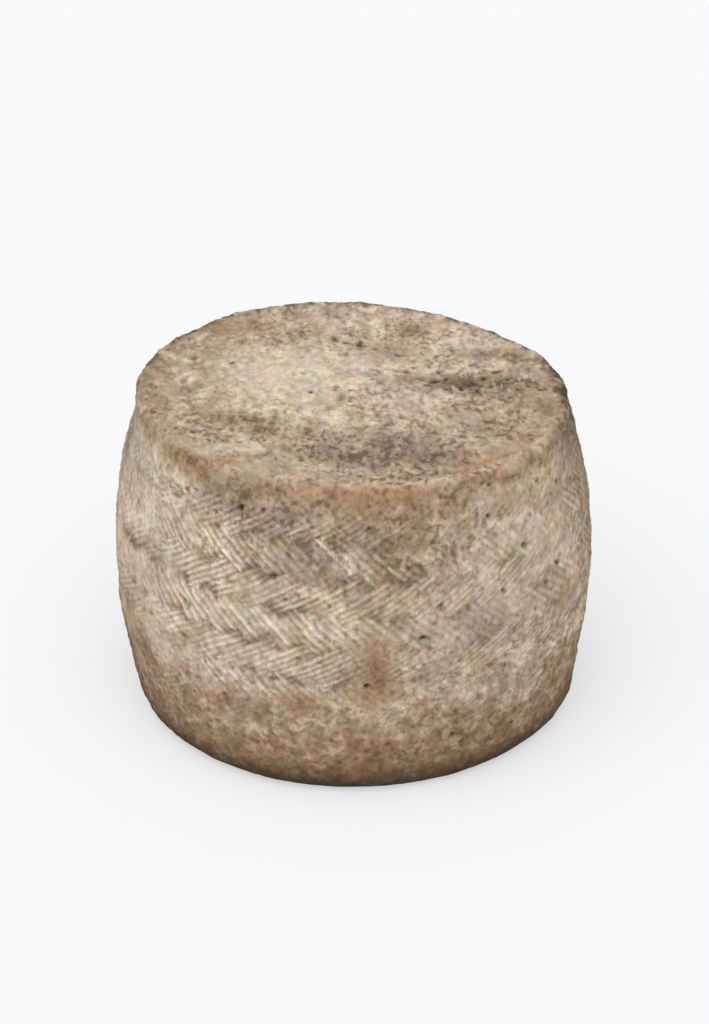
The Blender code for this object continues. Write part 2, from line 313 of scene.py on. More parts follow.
# Pits of the side: bearing in degrees, height, half widths along and up, and depth
SIDE_PITS = (
    (-41.5, 63 * MM, 1.5 * MM, 1.2 * MM, 1.0 * MM),
    (-42.5, 50 * MM, 1.6 * MM, 1.2 * MM, 1.0 * MM),
    (-57.0, 57 * MM, 1.3 * MM, 1.0 * MM, 0.9 * MM),
    (-30.0, 57.5 * MM, 3.2 * MM, 0.9 * MM, 0.9 * MM),
    (-18.5, 44.5 * MM, 1.6 * MM, 1.1 * MM, 1.0 * MM),
    (-44.5, 29 * MM, 2.2 * MM, 1.5 * MM, 0.9 * MM),
    (-20.5, 31.5 * MM, 1.4 * MM, 1.1 * MM, 0.9 * MM),
    (0.5, 66 * MM, 1.0 * MM, 1.3 * MM, 0.9 * MM),
    (10.5, 66.4 * MM, 1.2 * MM, 1.0 * MM, 1.0 * MM),
    (20.0, 72 * MM, 1.3 * MM, 1.1 * MM, 1.2 * MM),
    (36.5, 71.5 * MM, 1.1 * MM, 0.9 * MM, 0.9 * MM),
    (56.5, 71 * MM, 1.6 * MM, 1.1 * MM, 1.1 * MM),
    (26.5, 70.4 * MM, 0.9 * MM, 0.8 * MM, 1.1 * MM),
    (34.5, 98 * MM, 1.0 * MM, 0.9 * MM, 1.2 * MM),
    (22.5, 108 * MM, 1.1 * MM, 0.9 * MM, 1.3 * MM),
    (4.0, 109 * MM, 1.0 * MM, 0.9 * MM, 1.3 * MM),
    (16.0, 62 * MM, 2.6 * MM, 0.8 * MM, 0.9 * MM),
    (29.0, 88 * MM, 1.0 * MM, 0.8 * MM, 0.9 * MM),
    (44.0, 84 * MM, 1.2 * MM, 0.9 * MM, 1.0 * MM),
    (-86.0, 45 * MM, 3.0 * MM, 5.0 * MM, 0.8 * MM),
    (-45.5, 71.4 * MM, 1.6 * MM, 0.8 * MM, 0.9 * MM),
    (-18.5, 81 * MM, 1.5 * MM, 1.0 * MM, 0.9 * MM),
    (-22.0, 102 * MM, 1.1 * MM, 0.9 * MM, 1.1 * MM),
    (-14.5, 101 * MM, 1.8 * MM, 1.3 * MM, 1.0 * MM),
    (-12.0, 75 * MM, 1.1 * MM, 0.8 * MM, 0.9 * MM),
    (-14.5, 71.4 * MM, 1.0 * MM, 0.8 * MM, 0.9 * MM),
    (-12.5, 58 * MM, 1.6 * MM, 1.0 * MM, 0.9 * MM),
)

# The groove where the belt's end lay: bearings where it starts and ends, height, half width
# and depth
BELT_END = (-75.0, -40.0)
BELT_END_HEIGHT = 72.0 * MM
BELT_END_WIDTH = 1.5 * MM
BELT_END_DEPTH = 0.9 * MM

lumps = swells(LUMP_SIZE)
out += SWELL_RELIEF * broad_swells + LUMP_RELIEF * lumps
crease = 0.8 + 0.9 * swells(SWELL_SIZE, (0, 1, 0))
crease *= bump(height - WHEEL_HEIGHT + CREASE_BELOW_TOP, CREASE_WIDTH)
out -= CREASE_DEPTH * crease
for *patch, amount in SIDE_SWELLS:
    out += amount * round_the_side(*patch)
ragged = 0.75 + 0.9 * swells(RAGGED_SIZE)
hollow = np.zeros(len(places))
for *patch, depth in SIDE_PITS:
    hollow += depth * ragged * round_the_side(*patch)
start, end = (math.radians(limit) * BELLY_RADIUS for limit in BELT_END)
beyond = np.maximum(np.maximum(start - along, along - end), 0)
groove = bump(beyond, 2 * BELT_END_WIDTH) * bump(height - BELT_END_HEIGHT, BELT_END_WIDTH)
out -= BELT_END_DEPTH * groove

# ---- The top's folds and swells -----------------------------------------------------------
# The top was pressed flat under a wet cloth whose folds left creases to the right of the
# middle; each fold here runs from point to point, with its half width and depth.

TOP_FOLDS = (
    ((13 * MM, 18.5 * MM), (22 * MM, 15.5 * MM), 1.1 * MM, 0.9 * MM),
    ((17 * MM, 13.5 * MM), (28 * MM, 10.5 * MM), 1.0 * MM, 0.7 * MM),
    ((27 * MM, 13 * MM), (34 * MM, 9 * MM), 1.1 * MM, 0.5 * MM),
    ((38 * MM, 8 * MM), (47 * MM, 6.5 * MM), 1.2 * MM, 0.5 * MM),
    ((45 * MM, 13 * MM), (51 * MM, 20 * MM), 0.9 * MM, 0.7 * MM),
    ((50 * MM, 11 * MM), (58 * MM, 6 * MM), 0.9 * MM, 0.5 * MM),
    ((26 * MM, -13 * MM), (36 * MM, -9 * MM), 1.0 * MM, 0.4 * MM),
)

# Small pits that lie close together along the folds: their places in mm, then the half
# widths and the depth that they share
FOLD_DOTS = (
    (29, 11), (32, 13), (33, 8), (31.5, 4), (33.5, 2.5), (38, 12), (40.5, 10.5), (42.5, 9),
    (42.5, 4), (40, 4.6), (37, 5), (45, 13), (49, 18.5), (50, 10), (52, 6.4), (56, 5),
    (57, -0.5), (64, 4.5), (24, 14), (47, 8), (29.6, 18), (35, 16.5), (39.7, 15), (27, 6.5),
    (43.5, 1), (53, 13),
)
FOLD_DOT_SIZE = (0.75 * MM, 1.2 * MM)
FOLD_DOT_DEPTH = 1.05 * MM

# The edge stood up a little where the cloth was gathered round it: how far in from the
# edge its crest lies, its half width and its rise
RIM_INSET = 3.4 * MM
RIM_WIDTH = 1.5 * MM
RIM_RISE = 0.3 * MM

# Single pits of the top: place, half widths to the side and to the back, and depth
TOP_PITS = (
    ((3 * MM, 37 * MM), 1.4 * MM, 2.2 * MM, 1.3 * MM),
    ((-6 * MM, 43 * MM), 1.3 * MM, 3.0 * MM, 0.9 * MM),
    ((8 * MM, 16 * MM), 1.5 * MM, 2.4 * MM, 0.9 * MM),
    ((-54.6 * MM, 22.6 * MM), 1.3 * MM, 1.9 * MM, 1.0 * MM),
    ((-55 * MM, 30 * MM), 1.6 * MM, 1.4 * MM, 0.8 * MM),
    ((-17 * MM, 12 * MM), 0.9 * MM, 1.4 * MM, 0.7 * MM),
    ((16 * MM, 31 * MM), 1.2 * MM, 1.8 * MM, 0.7 * MM),
    ((-3 * MM, -5 * MM), 2.0 * MM, 2.4 * MM, 0.7 * MM),
    ((-14 * MM, -30 * MM), 1.6 * MM, 3.0 * MM, 0.9 * MM),
    ((30 * MM, 44 * MM), 1.2 * MM, 2.0 * MM, 0.7 * MM),
    ((46 * MM, 34 * MM), 1.3 * MM, 2.2 * MM, 0.9 * MM),
)

# Broad hollows and swells of the top: place, half widths and rise
TOP_SWELLS = (
    ((4 * MM, -50 * MM), 26 * MM, 12 * MM, -1.1 * MM),
    ((-34 * MM, -27 * MM), 12 * MM, 7 * MM, -0.7 * MM),
    ((-20 * MM, 14 * MM), 26 * MM, 18 * MM, 0.6 * MM),
    ((-24 * MM, 66 * MM), 22 * MM, 12 * MM, 0.7 * MM),
    ((44 * MM, 52 * MM), 26 * MM, 16 * MM, -0.7 * MM),
)


def along_fold(start, end, width):
    """How near every point is to a straight fold, 1 on it."""
    run = np.subtract(end, start)
    share = np.clip((places[:, :2] - start) @ run / (run @ run), 0, 1)
    apart = places[:, :2] - start - share[:, None] * run
    return bump(np.hypot(apart[:, 0], apart[:, 1]), width)


rim = bump(reach - TOP_RADIUS + RIM_INSET, RIM_WIDTH)
rim *= 0.55 + 0.7 * swells(LUMP_SIZE, (1, 0, 0))
rise = LUMP_RELIEF * lumps + RIM_RISE * rim
for place, wide, deep, amount in TOP_SWELLS:
    rise += amount * over_the_top(place, wide, deep)
for *patch, depth in TOP_PITS:
    hollow += depth * ragged * on_top * over_the_top(*patch)
for place in FOLD_DOTS:
    dot = over_the_top(np.multiply(place, MM), *FOLD_DOT_SIZE)
    hollow += FOLD_DOT_DEPTH * ragged * on_top * dot
for start, end, width, depth in TOP_FOLDS:
    hollow += depth * ragged * along_fold(start, end, width)

# ---- Stains and painted shade -------------------------------------------------------------
# Where the rind has coloured: ochre where whey dried on the lip, umber stains, ash grey moulds,
# rosy, pale and earthy ground, and where dark specks lie closest. Umber and a dark brown also
# paint shade in the creases under the lip and along the wheel's outline, with a few soil
# patches.

# Patches of the side: bearing in degrees, height, half widths along and up, and strength
SIDE_PATCHES = {
    # Painted shade along the wheel's outline at the left and right flanks, and two dark soil
    # patches on the back
    "outline_shade_and_soil": (
        (92, 105 * MM, 13 * MM, 8 * MM, 0.95),
        (96, 91 * MM, 9 * MM, 8 * MM, 0.9),
        (94, 76 * MM, 5 * MM, 6 * MM, 0.8),
        (99, 58 * MM, 8 * MM, 7 * MM, 0.7),
        (95, 42 * MM, 5 * MM, 6 * MM, 0.7),
        (89, 23 * MM, 5 * MM, 6 * MM, 0.8),
        (84, 6 * MM, 16 * MM, 8 * MM, 0.8),
        (-96, 96 * MM, 9 * MM, 9 * MM, 0.7),
        (-94, 76 * MM, 5 * MM, 7 * MM, 0.6),
        (-93, 52 * MM, 6 * MM, 8 * MM, 0.9),
        (-87, 46 * MM, 4 * MM, 7 * MM, 0.9),
        (-82, 14 * MM, 12 * MM, 12 * MM, 0.8),
        (150, 90 * MM, 16 * MM, 12 * MM, 0.5),
        (-146, 30 * MM, 20 * MM, 12 * MM, 0.5),
    ),
    "ochre": (
        (-42, 110 * MM, 16 * MM, 1.8 * MM, 0.5),
        (-12, 108 * MM, 16 * MM, 2.0 * MM, 0.8),
        (6, 107 * MM, 11 * MM, 3.0 * MM, 0.85),
        (4, 111 * MM, 30 * MM, 1.6 * MM, 0.7),
        (24, 108 * MM, 14 * MM, 2.4 * MM, 0.7),
        (13, 102 * MM, 6 * MM, 2.4 * MM, 0.4),
        (41, 108.5 * MM, 7 * MM, 2.6 * MM, 0.9),
        (60, 107 * MM, 12 * MM, 3.5 * MM, 0.6),
        (5, 50 * MM, 4.0 * MM, 8 * MM, 1.1),
        (3, 42 * MM, 8 * MM, 3.0 * MM, 0.9),
        (58, 57 * MM, 7 * MM, 6 * MM, 0.8),
        (-11, 38 * MM, 8 * MM, 4 * MM, 0.7),
        (-20, 12 * MM, 40 * MM, 9 * MM, 0.5),
        (30, 9 * MM, 22 * MM, 5 * MM, 0.5),
        (-66, 44 * MM, 7 * MM, 5 * MM, 0.4),
        (-150, 60 * MM, 12 * MM, 16 * MM, 0.5),
        (128, 40 * MM, 14 * MM, 8 * MM, 0.5),
    ),
    # Umber stains, and painted shade: in the crease under the lip, along the outline at the
    # flanks and near the foot
    "umber_and_shade": (
        (-45, 110.2 * MM, 11 * MM, 2.0 * MM, 1.0),
        (-62, 110.8 * MM, 9 * MM, 1.6 * MM, 0.7),
        (-30, 105.2 * MM, 5 * MM, 1.7 * MM, 0.9),
        (-37, 104.8 * MM, 4 * MM, 2.0 * MM, 0.5),
        (-67, 70 * MM, 7 * MM, 1.1 * MM, 0.9),
        (-56, 71 * MM, 7 * MM, 1.0 * MM, 0.7),
        (-19, 61 * MM, 2.0 * MM, 1.6 * MM, 0.8),
        (-21, 110.2 * MM, 10 * MM, 1.6 * MM, 0.7),
        (-5, 110.6 * MM, 12 * MM, 1.3 * MM, 0.75),
        (13, 111.0 * MM, 10 * MM, 1.2 * MM, 0.55),
        (28, 110.8 * MM, 11 * MM, 1.4 * MM, 0.7),
        (0, 103 * MM, 5 * MM, 4 * MM, 0.6),
        (40, 101 * MM, 5 * MM, 3 * MM, 0.45),
        (9, 91.5 * MM, 5 * MM, 4.5 * MM, 0.8),
        (5, 53 * MM, 2.2 * MM, 7 * MM, 0.5),
        (-6, 106 * MM, 6 * MM, 1.6 * MM, 0.4),
        (24, 104 * MM, 8 * MM, 1.6 * MM, 0.4),
        (13, 101 * MM, 6 * MM, 3 * MM, 0.25),
        (-86, 47 * MM, 4 * MM, 9 * MM, 0.9),
        (-80, 18 * MM, 11 * MM, 14 * MM, 0.9),
        (-94, 62 * MM, 6 * MM, 9 * MM, 0.7),
        (-99, 84 * MM, 9 * MM, 9 * MM, 0.6),
        (90, 102 * MM, 14 * MM, 9 * MM, 0.8),
        (88, 68 * MM, 6 * MM, 8 * MM, 0.6),
        (98, 78 * MM, 8 * MM, 9 * MM, 0.7),
        (90, 34 * MM, 8 * MM, 7 * MM, 0.7),
        (100, 48 * MM, 7 * MM, 9 * MM, 0.6),
        (72, 10 * MM, 12 * MM, 8 * MM, 0.6),
        (-27, 33 * MM, 9 * MM, 3 * MM, 0.45),
        (-60, 33 * MM, 7 * MM, 8 * MM, 0.6),
        (-57, 20 * MM, 9 * MM, 6 * MM, 0.5),
        (-84, 56 * MM, 3 * MM, 10 * MM, 0.7),
        (-84, 98 * MM, 5 * MM, 10 * MM, 0.4),
        (80, 26 * MM, 6 * MM, 8 * MM, 0.7),
        (28, 23 * MM, 16 * MM, 7 * MM, 0.4),
    ),
    "ash": (
        (-31, 104 * MM, 9 * MM, 3.2 * MM, 0.55),
        (-16, 102 * MM, 8 * MM, 3.0 * MM, 0.5),
        (-14, 89 * MM, 9 * MM, 8 * MM, 0.35),
        (-80, 96 * MM, 10 * MM, 9 * MM, 0.35),
        (78, 104 * MM, 9 * MM, 6 * MM, 0.6),
        (26, 62 * MM, 16 * MM, 9 * MM, 0.3),
        (170, 84 * MM, 30 * MM, 14 * MM, 0.5),
    ),
    "rose": (
        (-42, 34 * MM, 20 * MM, 7 * MM, 0.6),
        (-28, 102 * MM, 10 * MM, 6 * MM, 0.5),
        (22, 78 * MM, 22 * MM, 12 * MM, 0.5),
        (60, 86 * MM, 18 * MM, 12 * MM, 0.6),
        (10, 22 * MM, 30 * MM, 9 * MM, 0.5),
        (-60, 60 * MM, 12 * MM, 14 * MM, 0.4),
        (-100, 60 * MM, 26 * MM, 22 * MM, 0.4),
    ),
    "pale": (
        (-66, 74 * MM, 20 * MM, 20 * MM, 0.7),
        (-46, 66 * MM, 20 * MM, 18 * MM, 0.35),
        (44, 76 * MM, 26 * MM, 14 * MM, 0.5),
        (-28, 60 * MM, 20 * MM, 14 * MM, 0.5),
        (-50, 46 * MM, 14 * MM, 8 * MM, 0.5),
        (-16, 26 * MM, 30 * MM, 4 * MM, 0.6),
        (38, 34 * MM, 12 * MM, 7 * MM, 0.25),
        (110, 74 * MM, 30 * MM, 20 * MM, 0.5),
    ),
    "earthy": (
        (-18, 100 * MM, 34 * MM, 7 * MM, 0.6),
        (12, 96 * MM, 26 * MM, 14 * MM, 0.8),
        (30, 64 * MM, 34 * MM, 20 * MM, 0.25),
        (30, 27 * MM, 36 * MM, 12 * MM, 0.65),
        (-52, 30 * MM, 20 * MM, 10 * MM, 0.6),
        (4, 46 * MM, 16 * MM, 14 * MM, 0.6),
        (80, 70 * MM, 16 * MM, 40 * MM, 0.7),
        (-80, 30 * MM, 20 * MM, 16 * MM, 0.5),
        (180, 60 * MM, 90 * MM, 30 * MM, 0.4),
    ),
    "peppered": (
        (-30, 101 * MM, 20 * MM, 7 * MM, 0.9),
        (4, 98 * MM, 24 * MM, 7 * MM, 0.7),
        (12, 86 * MM, 14 * MM, 8 * MM, 0.5),
        (36, 52 * MM, 18 * MM, 12 * MM, 0.2),
        (-40, 22 * MM, 26 * MM, 9 * MM, 0.35),
        (20, 22 * MM, 40 * MM, 10 * MM, 0.3),
        (180, 90 * MM, 40 * MM, 14 * MM, 0.7),
    ),
}

# Patches of the top: place, half widths to the side and to the back, and strength
TOP_PATCHES = {
    # Painted shade along the top's outline at its left and right edges
    "outline_shade_and_soil": (
        ((72.5 * MM, 4 * MM), 3.4 * MM, 30 * MM, 0.9),
        ((66 * MM, 32 * MM), 3 * MM, 12 * MM, 0.7),
        ((-74 * MM, 10 * MM), 2.4 * MM, 24 * MM, 0.5),
    ),
    "ochre": (
        ((60 * MM, -30 * MM), 9 * MM, 10 * MM, 0.6),
        ((63 * MM, -5 * MM), 6 * MM, 8 * MM, 0.45),
        ((10 * MM, -72 * MM), 30 * MM, 4.0 * MM, 1.1),
        ((46 * MM, -54 * MM), 13 * MM, 7 * MM, 1.0),
        ((55 * MM, -46 * MM), 6 * MM, 6 * MM, 0.9),
        ((-46 * MM, -55 * MM), 9 * MM, 3.6 * MM, 1.3),
        ((-26 * MM, -68 * MM), 20 * MM, 2.4 * MM, 0.7),
        ((-56 * MM, -47 * MM), 6 * MM, 5 * MM, 1.1),
        ((-66 * MM, -29 * MM), 3 * MM, 9 * MM, 0.6),
        ((-44 * MM, -58 * MM), 9 * MM, 2.6 * MM, 0.7),
        ((-48 * MM, 48 * MM), 16 * MM, 8 * MM, 0.35),
        ((-38 * MM, -26 * MM), 14 * MM, 7 * MM, 0.4),
        ((20 * MM, 52 * MM), 6 * MM, 6 * MM, 0.5),
    ),
    # Umber stains, and painted shade along the top's left and right edges
    "umber_and_shade": (
        ((-36 * MM, -23 * MM), 6 * MM, 2.6 * MM, 1.0),
        ((-29 * MM, -30 * MM), 6 * MM, 2.6 * MM, 1.0),
        ((-44 * MM, -20 * MM), 3 * MM, 2.4 * MM, 0.8),
        ((-22 * MM, -58 * MM), 5 * MM, 3 * MM, 0.6),
        ((-47 * MM, -56.5 * MM), 8 * MM, 2.2 * MM, 0.8),
        ((-36 * MM, -64 * MM), 6 * MM, 1.8 * MM, 0.6),
        ((20 * MM, 52 * MM), 3.5 * MM, 5 * MM, 0.8),
        ((-9 * MM, 64 * MM), 2.4 * MM, 4 * MM, 0.7),
        ((-18 * MM, 60 * MM), 5 * MM, 2.5 * MM, 0.5),
        ((42 * MM, 31 * MM), 2.6 * MM, 3 * MM, 0.7),
        ((65 * MM, -10 * MM), 3 * MM, 5 * MM, 0.7),
        ((-42 * MM, 50 * MM), 6 * MM, 5 * MM, 0.4),
        ((59 * MM, 4 * MM), 7 * MM, 5 * MM, 0.6),
        ((53 * MM, 32 * MM), 6 * MM, 4 * MM, 0.7),
        ((36 * MM, 11 * MM), 9 * MM, 4 * MM, 0.25),
        ((14 * MM, 34 * MM), 7 * MM, 5 * MM, 0.4),
        ((42 * MM, -20 * MM), 9 * MM, 5 * MM, 0.35),
        ((-69 * MM, -2 * MM), 3 * MM, 22 * MM, 0.6),
        ((71 * MM, 12 * MM), 3 * MM, 22 * MM, 0.8),
        ((55 * MM, -45 * MM), 8 * MM, 6 * MM, 0.5),
        ((69 * MM, -14 * MM), 4 * MM, 8 * MM, 0.5),
    ),
    "ash": (
        ((15 * MM, -37 * MM), 9 * MM, 5 * MM, 0.9),
        ((4 * MM, -47 * MM), 11 * MM, 6 * MM, 0.9),
        ((24 * MM, -43 * MM), 9 * MM, 6 * MM, 0.8),
        ((-10 * MM, -47 * MM), 14 * MM, 7 * MM, 0.4),
        ((40 * MM, 9.5 * MM), 13 * MM, 5 * MM, 0.6),
        ((-20 * MM, -52 * MM), 10 * MM, 6 * MM, 0.3),
    ),
    "rose": (
        ((-64 * MM, -4 * MM), 8 * MM, 18 * MM, 0.8),
        ((24 * MM, -10 * MM), 16 * MM, 9 * MM, 0.6),
        ((30 * MM, 56 * MM), 20 * MM, 9 * MM, 0.6),
        ((-26 * MM, 56 * MM), 20 * MM, 8 * MM, 0.5),
        ((8 * MM, 26 * MM), 14 * MM, 10 * MM, 0.5),
        ((50 * MM, -4 * MM), 16 * MM, 8 * MM, 0.5),
    ),
    "pale": (
        ((-24 * MM, 12 * MM), 26 * MM, 20 * MM, 1.0),
        ((4 * MM, -4 * MM), 18 * MM, 13 * MM, 0.25),
        ((6 * MM, 58 * MM), 34 * MM, 7 * MM, 0.4),
        ((46 * MM, 42 * MM), 14 * MM, 9 * MM, 0.4),
        ((22 * MM, -12 * MM), 12 * MM, 8 * MM, 0.35),
        ((-44 * MM, -45 * MM), 14 * MM, 3.4 * MM, 0.9),
        ((-30 * MM, -57 * MM), 16 * MM, 3 * MM, 0.8),
        ((42 * MM, -38 * MM), 12 * MM, 5 * MM, 0.4),
        ((-4 * MM, 40 * MM), 16 * MM, 7 * MM, 0.5),
    ),
    "earthy": (
        ((-56 * MM, 10 * MM), 12 * MM, 34 * MM, 0.7),
        ((-40 * MM, 46 * MM), 26 * MM, 14 * MM, 0.6),
        ((4 * MM, 66 * MM), 60 * MM, 5 * MM, 0.25),
        ((54 * MM, 26 * MM), 18 * MM, 16 * MM, 0.35),
        ((44 * MM, -20 * MM), 22 * MM, 18 * MM, 0.4),
        ((-36 * MM, -28 * MM), 16 * MM, 8 * MM, 0.25),
        ((8 * MM, -44 * MM), 26 * MM, 10 * MM, 0.7),
        ((40 * MM, 9 * MM), 18 * MM, 6 * MM, 0.7),
        ((22 * MM, -62 * MM), 24 * MM, 5 * MM, 0.6),
    ),
    "peppered": (
        ((24 * MM, -60 * MM), 24 * MM, 5 * MM, 0.7),
        ((10 * MM, -44 * MM), 28 * MM, 10 * MM, 0.9),
        ((42 * MM, 9 * MM), 18 * MM, 5 * MM, 1.0),
        ((48 * MM, -20 * MM), 17 * MM, 14 * MM, 0.55),
        ((-38 * MM, -32 * MM), 20 * MM, 12 * MM, 0.45),
        ((8 * MM, 0 * MM), 14 * MM, 8 * MM, 0.35),
        ((0 * MM, 52 * MM), 40 * MM, 12 * MM, 0.35),
    ),
}


def patch_strength(name):
    """How strongly every point is coloured by the patches of that name, 0 to 1."""
    strength = np.zeros(len(places))
    for *patch, share in SIDE_PATCHES[name]:
        strength = np.maximum(strength, share * on_side * round_the_side(*patch))
    for *patch, share in TOP_PATCHES[name]:
        strength = np.maximum(strength, share * on_top * over_the_top(*patch))
    return strength


# ---- Grain and pits -----------------------------------------------------------------------
# Brushing left the curd's grain standing: pale crumbs over dark hollows where the rind is
# peppered, and a smoother skin elsewhere. Single whey holes lie at seeded random places.

# The curd's grain: lump sizes and relief. Its crumbs: lump sizes and shares, their squeeze,
# and how deep it is between them
GRAINS = ((3.4 * MM, 0.3 * MM), (1.8 * MM, 0.26 * MM))
CRUMB_SIZES = ((3.4 * MM, 0.5), (2.1 * MM, 0.6))
CRUMB_SQUEEZE = (1.1, 0.65, 1.05)
CRUMB_DEPTH = 0.4 * MM

# Single whey holes: least and greatest radius, then how far a hole's edge spreads and how
# deep it is, as shares of its radius
PIT_SEED = 11
WHEY_HOLES = 700
HOLE_REACH = (0.6 * MM, 1.5 * MM)
HOLE_SPREAD = 1.6
HOLE_DEPTH = 0.7

# A painted dark line of shade at the back of the lip: how far in it lies, its half width, and
# where it starts and is full, from front to back
BACK_EDGE_INSET = 1.2 * MM
BACK_EDGE_WIDTH = 1.6 * MM
BACK_EDGE_FADE = (-10 * MM, 25 * MM)

peppered = 0.26 + 0.12 * on_top + 0.7 * patch_strength("peppered") - 0.5 * patch_strength("pale")
peppered = np.clip(peppered - 0.1 * patch_strength("ochre"), 0, 1)
earthy = np.maximum(patch_strength("earthy"), on_side * (1 - smooth_step(*PLAIT_BOTTOM, edge)))
back_rim_shade = bump(reach - TOP_RADIUS + BACK_EDGE_INSET, BACK_EDGE_WIDTH)
back_rim_shade *= smooth_step(*BACK_EDGE_FADE, places[:, 1])
grain = np.zeros(len(places))
for size, relief in GRAINS:
    grain += relief * swells(size, (0, 0, 2))
crumbs = np.zeros(len(places))
for size, share in CRUMB_SIZES:
    crumbs += share * swells(size, (2, 0, 0), CRUMB_SQUEEZE)
dip = smooth_step(0.0, -0.4, crumbs + 0.62 - 0.46 * peppered)
hollow += CRUMB_DEPTH * dip

draw = np.random.default_rng(PIT_SEED)
tree = kdtree.KDTree(len(places))
for number, place in enumerate(places.tolist()):
    tree.insert(place, number)
tree.balance()
for _ in range(WHEY_HOLES):
    middle = int(draw.integers(len(places)))
    radius = HOLE_REACH[0] + draw.random() ** 2 * (HOLE_REACH[1] - HOLE_REACH[0])
    spread = HOLE_SPREAD * radius
    for _, number, apart in tree.find_range(places[middle], spread):
        dent = (1 - (apart / spread) ** 2) ** 2 * ragged[number]
        hollow[number] = max(hollow[number], HOLE_DEPTH * radius * dent)

# ---- The finished mesh --------------------------------------------------------------------
# All marks are put together: the side moves in and out, the top up and down, and the wheel
# then leans and bows a little, under a slightly slanting top. What is plain keeps fewer
# triangles.

TOP_SLOPE = -0.0297
LEAN = -0.0065
BOW = -0.0067
KEPT_TRIANGLES = 194000

# The average of the bow's square, taken off so that the bow stays centred
BOW_AVERAGE = 1 / 12

# Where the painted highlight along the lip's crest starts and is full, from the middle to the
# front
LIP_HIGHLIGHT_FADE = (-8 * MM, -44 * MM)

out += grain - hollow
rise += grain - hollow

moved = places.copy()
pushed = on_side * (0.4 + 0.6 * above_foot) * out
moved[:, :2] *= (1 + pushed / np.maximum(reach, MM))[:, None]
moved[:, 2] += on_top * rise
share = moved[:, 2] / WHEEL_HEIGHT
tall = moved[:, 2] + share * TOP_SLOPE * moved[:, 0]
moved[:, 0] += LEAN * (tall - WHEEL_HEIGHT / 2)
moved[:, 0] += BOW * WHEEL_HEIGHT * ((tall / WHEEL_HEIGHT - 0.5) ** 2 - BOW_AVERAGE)
moved[:, 2] = tall
solid_middle = (low_corner + high_corner) / 2
for axis in (0, 1):
    moved[:, axis] += solid_middle[axis] - (moved[:, axis].min() + moved[:, axis].max()) / 2
wheel.vertices.foreach_set("co", moved.astype(np.float32).ravel())


def keep(name, *columns):
    """Store one value or three at every point, for the material."""
    kind = "FLOAT" if len(columns) == 1 else "FLOAT_VECTOR"
    attribute = wheel.attributes.new(name, kind, "POINT")
    values = np.stack(columns, axis=-1).astype(np.float32).ravel()
    attribute.data.foreach_set("value" if len(columns) == 1 else "vector", values)


keep("belt", np.sin(belt_along / BELLY_RADIUS), np.cos(belt_along / BELLY_RADIUS), belt_height)
keep("marks", hollow / MM, shown, peppered)
keep("stains_and_shade", patch_strength("ochre"), patch_strength("umber_and_shade"), patch_strength("ash"))
keep("tints", patch_strength("rose"), patch_strength("pale"), earthy)
keep("luck", luck)
# Painted shade along the outline and at the back of the lip, and a few soil patches, for the
# material
keep("outline_shade_and_soil", np.maximum(patch_strength("outline_shade_and_soil"), 0.9 * back_rim_shade))
keep("painted_lip_highlight", rim * on_top * smooth_step(*LIP_HIGHLIGHT_FADE, places[:, 1]))

fine_wheel = bpy.data.objects.new("fine_wheel", wheel)
bpy.context.scene.collection.objects.link(fine_wheel)
lighten = fine_wheel.modifiers.new("lighten", "DECIMATE")
lighten.ratio = KEPT_TRIANGLES / (2 * len(wheel.polygons))
bpy.context.view_layer.update()
evaluated = fine_wheel.evaluated_get(bpy.context.evaluated_depsgraph_get())
rind_mesh = bpy.data.meshes.new_from_object(evaluated)
bpy.data.objects.remove(fine_wheel)
rind_mesh.shade_smooth()
rind = bpy.data.objects.new("goat_cheese_rind", rind_mesh)
bpy.context.scene.collection.objects.link(rind)

# ---- The rind's material ------------------------------------------------------------------
# A dry, brushed rind of cream and tan over ash grey, rosy and ochre in patches, with painted
# shade in every pit and between the printed stalks, and painted highlights on their crests.


def colour(red, green, blue):
    """A colour from its 0 to 255 screen values."""
    screen = np.array((red, green, blue)) / 255
    linear = np.where(screen <= 0.04045, screen / 12.92, ((screen + 0.055) / 1.055) ** 2.4)
    return (*linear.tolist(), 1.0)


class Wire:
    """An output socket of a material, so that a sum on its values is written as a sum."""

    def __init__(self, tree, socket=None):
        self.tree = tree
        self.socket = socket

    def node(self, kind, settings, sockets, output=0):
        """Add a node, set it, then fill its sockets with values or wires."""
        made = self.tree.nodes.new(kind)
        for name, value in settings.items():
            setattr(made, name, value)
        for name, value in sockets.items():
            if isinstance(value, Wire):
                self.tree.links.new(value.socket, made.inputs[name])
            else:
                made.inputs[name].default_value = value
        return Wire(self.tree, made.outputs[output])

    def math(self, operation, *values):
        return self.node("ShaderNodeMath", {"operation": operation}, dict(enumerate(values)))

    def __add__(self, other):
        return self.math("ADD", self, other)

    def __sub__(self, other):
        return self.math("SUBTRACT", self, other)

    def __rsub__(self, other):
        return self.math("SUBTRACT", other, self)

    def __mul__(self, other):
        return self.math("MULTIPLY", self, other)

    def __truediv__(self, other):
        return self.math("DIVIDE", self, other)

    def __pow__(self, other):
        return self.math("POWER", self, other)

    def __mod__(self, other):
        return self.math("FLOORED_MODULO", self, other)

    __radd__ = __add__
    __rmul__ = __mul__

    def floor(self):
        return self.math("FLOOR", self)

    def sine(self):
        return self.math("SINE", self)

    def between(self, low, high):
        """Rise smoothly from 0 at low to 1 at high."""
        sockets = {"Value": self, "From Min": low, "From Max": high}
        return self.node("ShaderNodeMapRange", {"interpolation_type": "SMOOTHSTEP"}, sockets)

    def noise(self, size, detail=3.0, rough=0.55, output=0):
        """Noise with lumps of that size over this position, about 0.5 on average."""
        sockets = {"Vector": self, "Scale": 1 / size, "Detail": detail, "Roughness": rough}
        return self.node("ShaderNodeTexNoise", {}, sockets, output)


